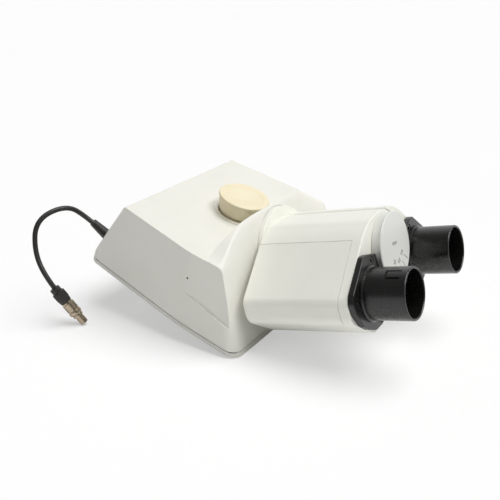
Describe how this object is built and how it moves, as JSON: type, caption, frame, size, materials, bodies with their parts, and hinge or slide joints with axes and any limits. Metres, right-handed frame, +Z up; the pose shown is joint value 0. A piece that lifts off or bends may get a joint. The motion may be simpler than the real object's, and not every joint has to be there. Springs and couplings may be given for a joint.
{
  "type": "binocular microscope head",
  "caption": "White binocular photo head with swinging wings, black eyepiece tubes, an interocular dial, a capped photo port and a plugged control cable.",
  "frame": {"origin": "on the table under the middle of the head, its cable and plug left out", "axes": "+X to the right as the viewer faces the eyepieces, +Y away from the eyepieces, +Z up, with the head resting on its front edge and its dovetail"},
  "size_m": [0.178, 0.269, 0.0951],
  "materials": {
    "shell_paint": "satin off-white paint over the casting",
    "plate_paint": "satin off-white paint",
    "wing_paint": "satin white paint over the casting",
    "cap_plastic": "cream moulded plastic",
    "dial_plastic": "matte white plastic",
    "black_anodised": "satin black anodised",
    "dark_plate": "dark grey paint",
    "silver": "turned and clear anodised",
    "steel": "zinc plated",
    "dark_steel": "blackened steel",
    "brass": "turned brass",
    "glass": "polished optical glass",
    "board_green": "solder mask",
    "chip_black": "moulded",
    "foam": "closed cell foam",
    "cord_black": "soft PVC sheath",
    "nickel": "nickel plated",
    "motor_case": "drawn steel can"
  },
  "bodies": {
    "housing": {"housing_shell": "shell_paint", "base_gasket": "foam", "base_plate": "plate_paint", "mount_dovetail": "silver", "base_screws": "steel", "dovetail_screws": "steel", "photo_port_ring": "silver", "photo_tube": "black_anodised", "optic_frame": "silver", "carriage_rails": "steel", "motor_bracket": "steel", "drive_motor": "motor_case", "board_standoffs": "brass", "control_board": "board_green", "board_components": "chip_black", "spindle": "silver", "spindle_screws": "dark_steel", "tube_lens": "glass", "beam_prism": "glass", "friction_washer": "steel", "retaining_ring": "dark_steel", "dial_drum": "dial_plastic", "dial_face": "dial_plastic", "idler_pin": "steel", "strain_relief": "cord_black", "cable": "cord_black", "plug_boot": "cord_black", "plug_core": "nickel", "plug_pins": "brass"},
    "left_wing": {"left_wing_case": "wing_paint", "left_wing_cover": "wing_paint", "left_tube_prism": "glass", "left_prism_bracket": "dark_steel", "left_tube_plate": "dark_plate", "left_plate_screws": "dark_steel", "left_crown_wheel": "brass", "left_sleeve": "black_anodised"},
    "right_wing": {"right_wing_case": "wing_paint", "right_wing_cover": "wing_paint", "right_tube_prism": "glass", "right_prism_bracket": "dark_steel", "right_tube_plate": "dark_plate", "right_plate_screws": "dark_steel", "right_crown_wheel": "brass", "right_sleeve": "black_anodised"},
    "idler": {"idler_wheel": "brass"},
    "carriage": {"prism_carriage": "black_anodised", "viewing_prism": "glass", "splitting_prism": "glass"},
    "pinion": {"drive_pinion": "brass"},
    "cap": {"photo_port_cap": "cap_plastic"},
    "plug_ring": {"plug_sleeve": "nickel"}
  },
  "joints": [
    {"name": "left_wing_swing", "type": "hinge", "parent": "housing", "child": "left_wing", "pos_m": [0, -0.00256, 0.04938], "axis": [0, -0.9683, 0.2499], "range_deg": [0, 30]},
    {"name": "right_wing_swing", "type": "hinge", "parent": "housing", "child": "right_wing", "pos_m": [0, -0.00256, 0.04938], "axis": [0, -0.9683, 0.2499], "range_deg": [-30, 0]},
    {"name": "idler_spin", "type": "hinge", "parent": "housing", "child": "idler", "pos_m": [0, -0.01657, 0.06952], "axis": [0, 0.2499, 0.9683], "range_deg": [-100, 0]},
    {"name": "carriage_slide", "type": "slide", "parent": "housing", "child": "carriage", "axis": [1, 0, 0], "range_m": [0, 0.036]},
    {"name": "pinion_spin", "type": "hinge", "parent": "housing", "child": "pinion", "pos_m": [0, 0.06959, 0.04084], "axis": [0, -0.2845, 0.9587], "range_deg": [0, 280]},
    {"name": "cap_lift", "type": "slide", "parent": "housing", "child": "cap", "axis": [0, -0.2845, 0.9587], "range_m": [0, 0.022]},
    {"name": "plug_ring_turn", "type": "hinge", "parent": "housing", "child": "plug_ring", "pos_m": [-0.09522, 0.11511, 0.01847], "axis": [0.302, -0.491, -0.8171], "continuous": true}
  ],
  "couplings": [
    {"joint": "right_wing_swing", "follows": "left_wing_swing", "ratio": -1},
    {"joint": "idler_spin", "follows": "left_wing_swing", "ratio": -3.2727},
    {"joint": "pinion_spin", "follows": "carriage_slide", "rad_per_m": 134.23}
  ]
}
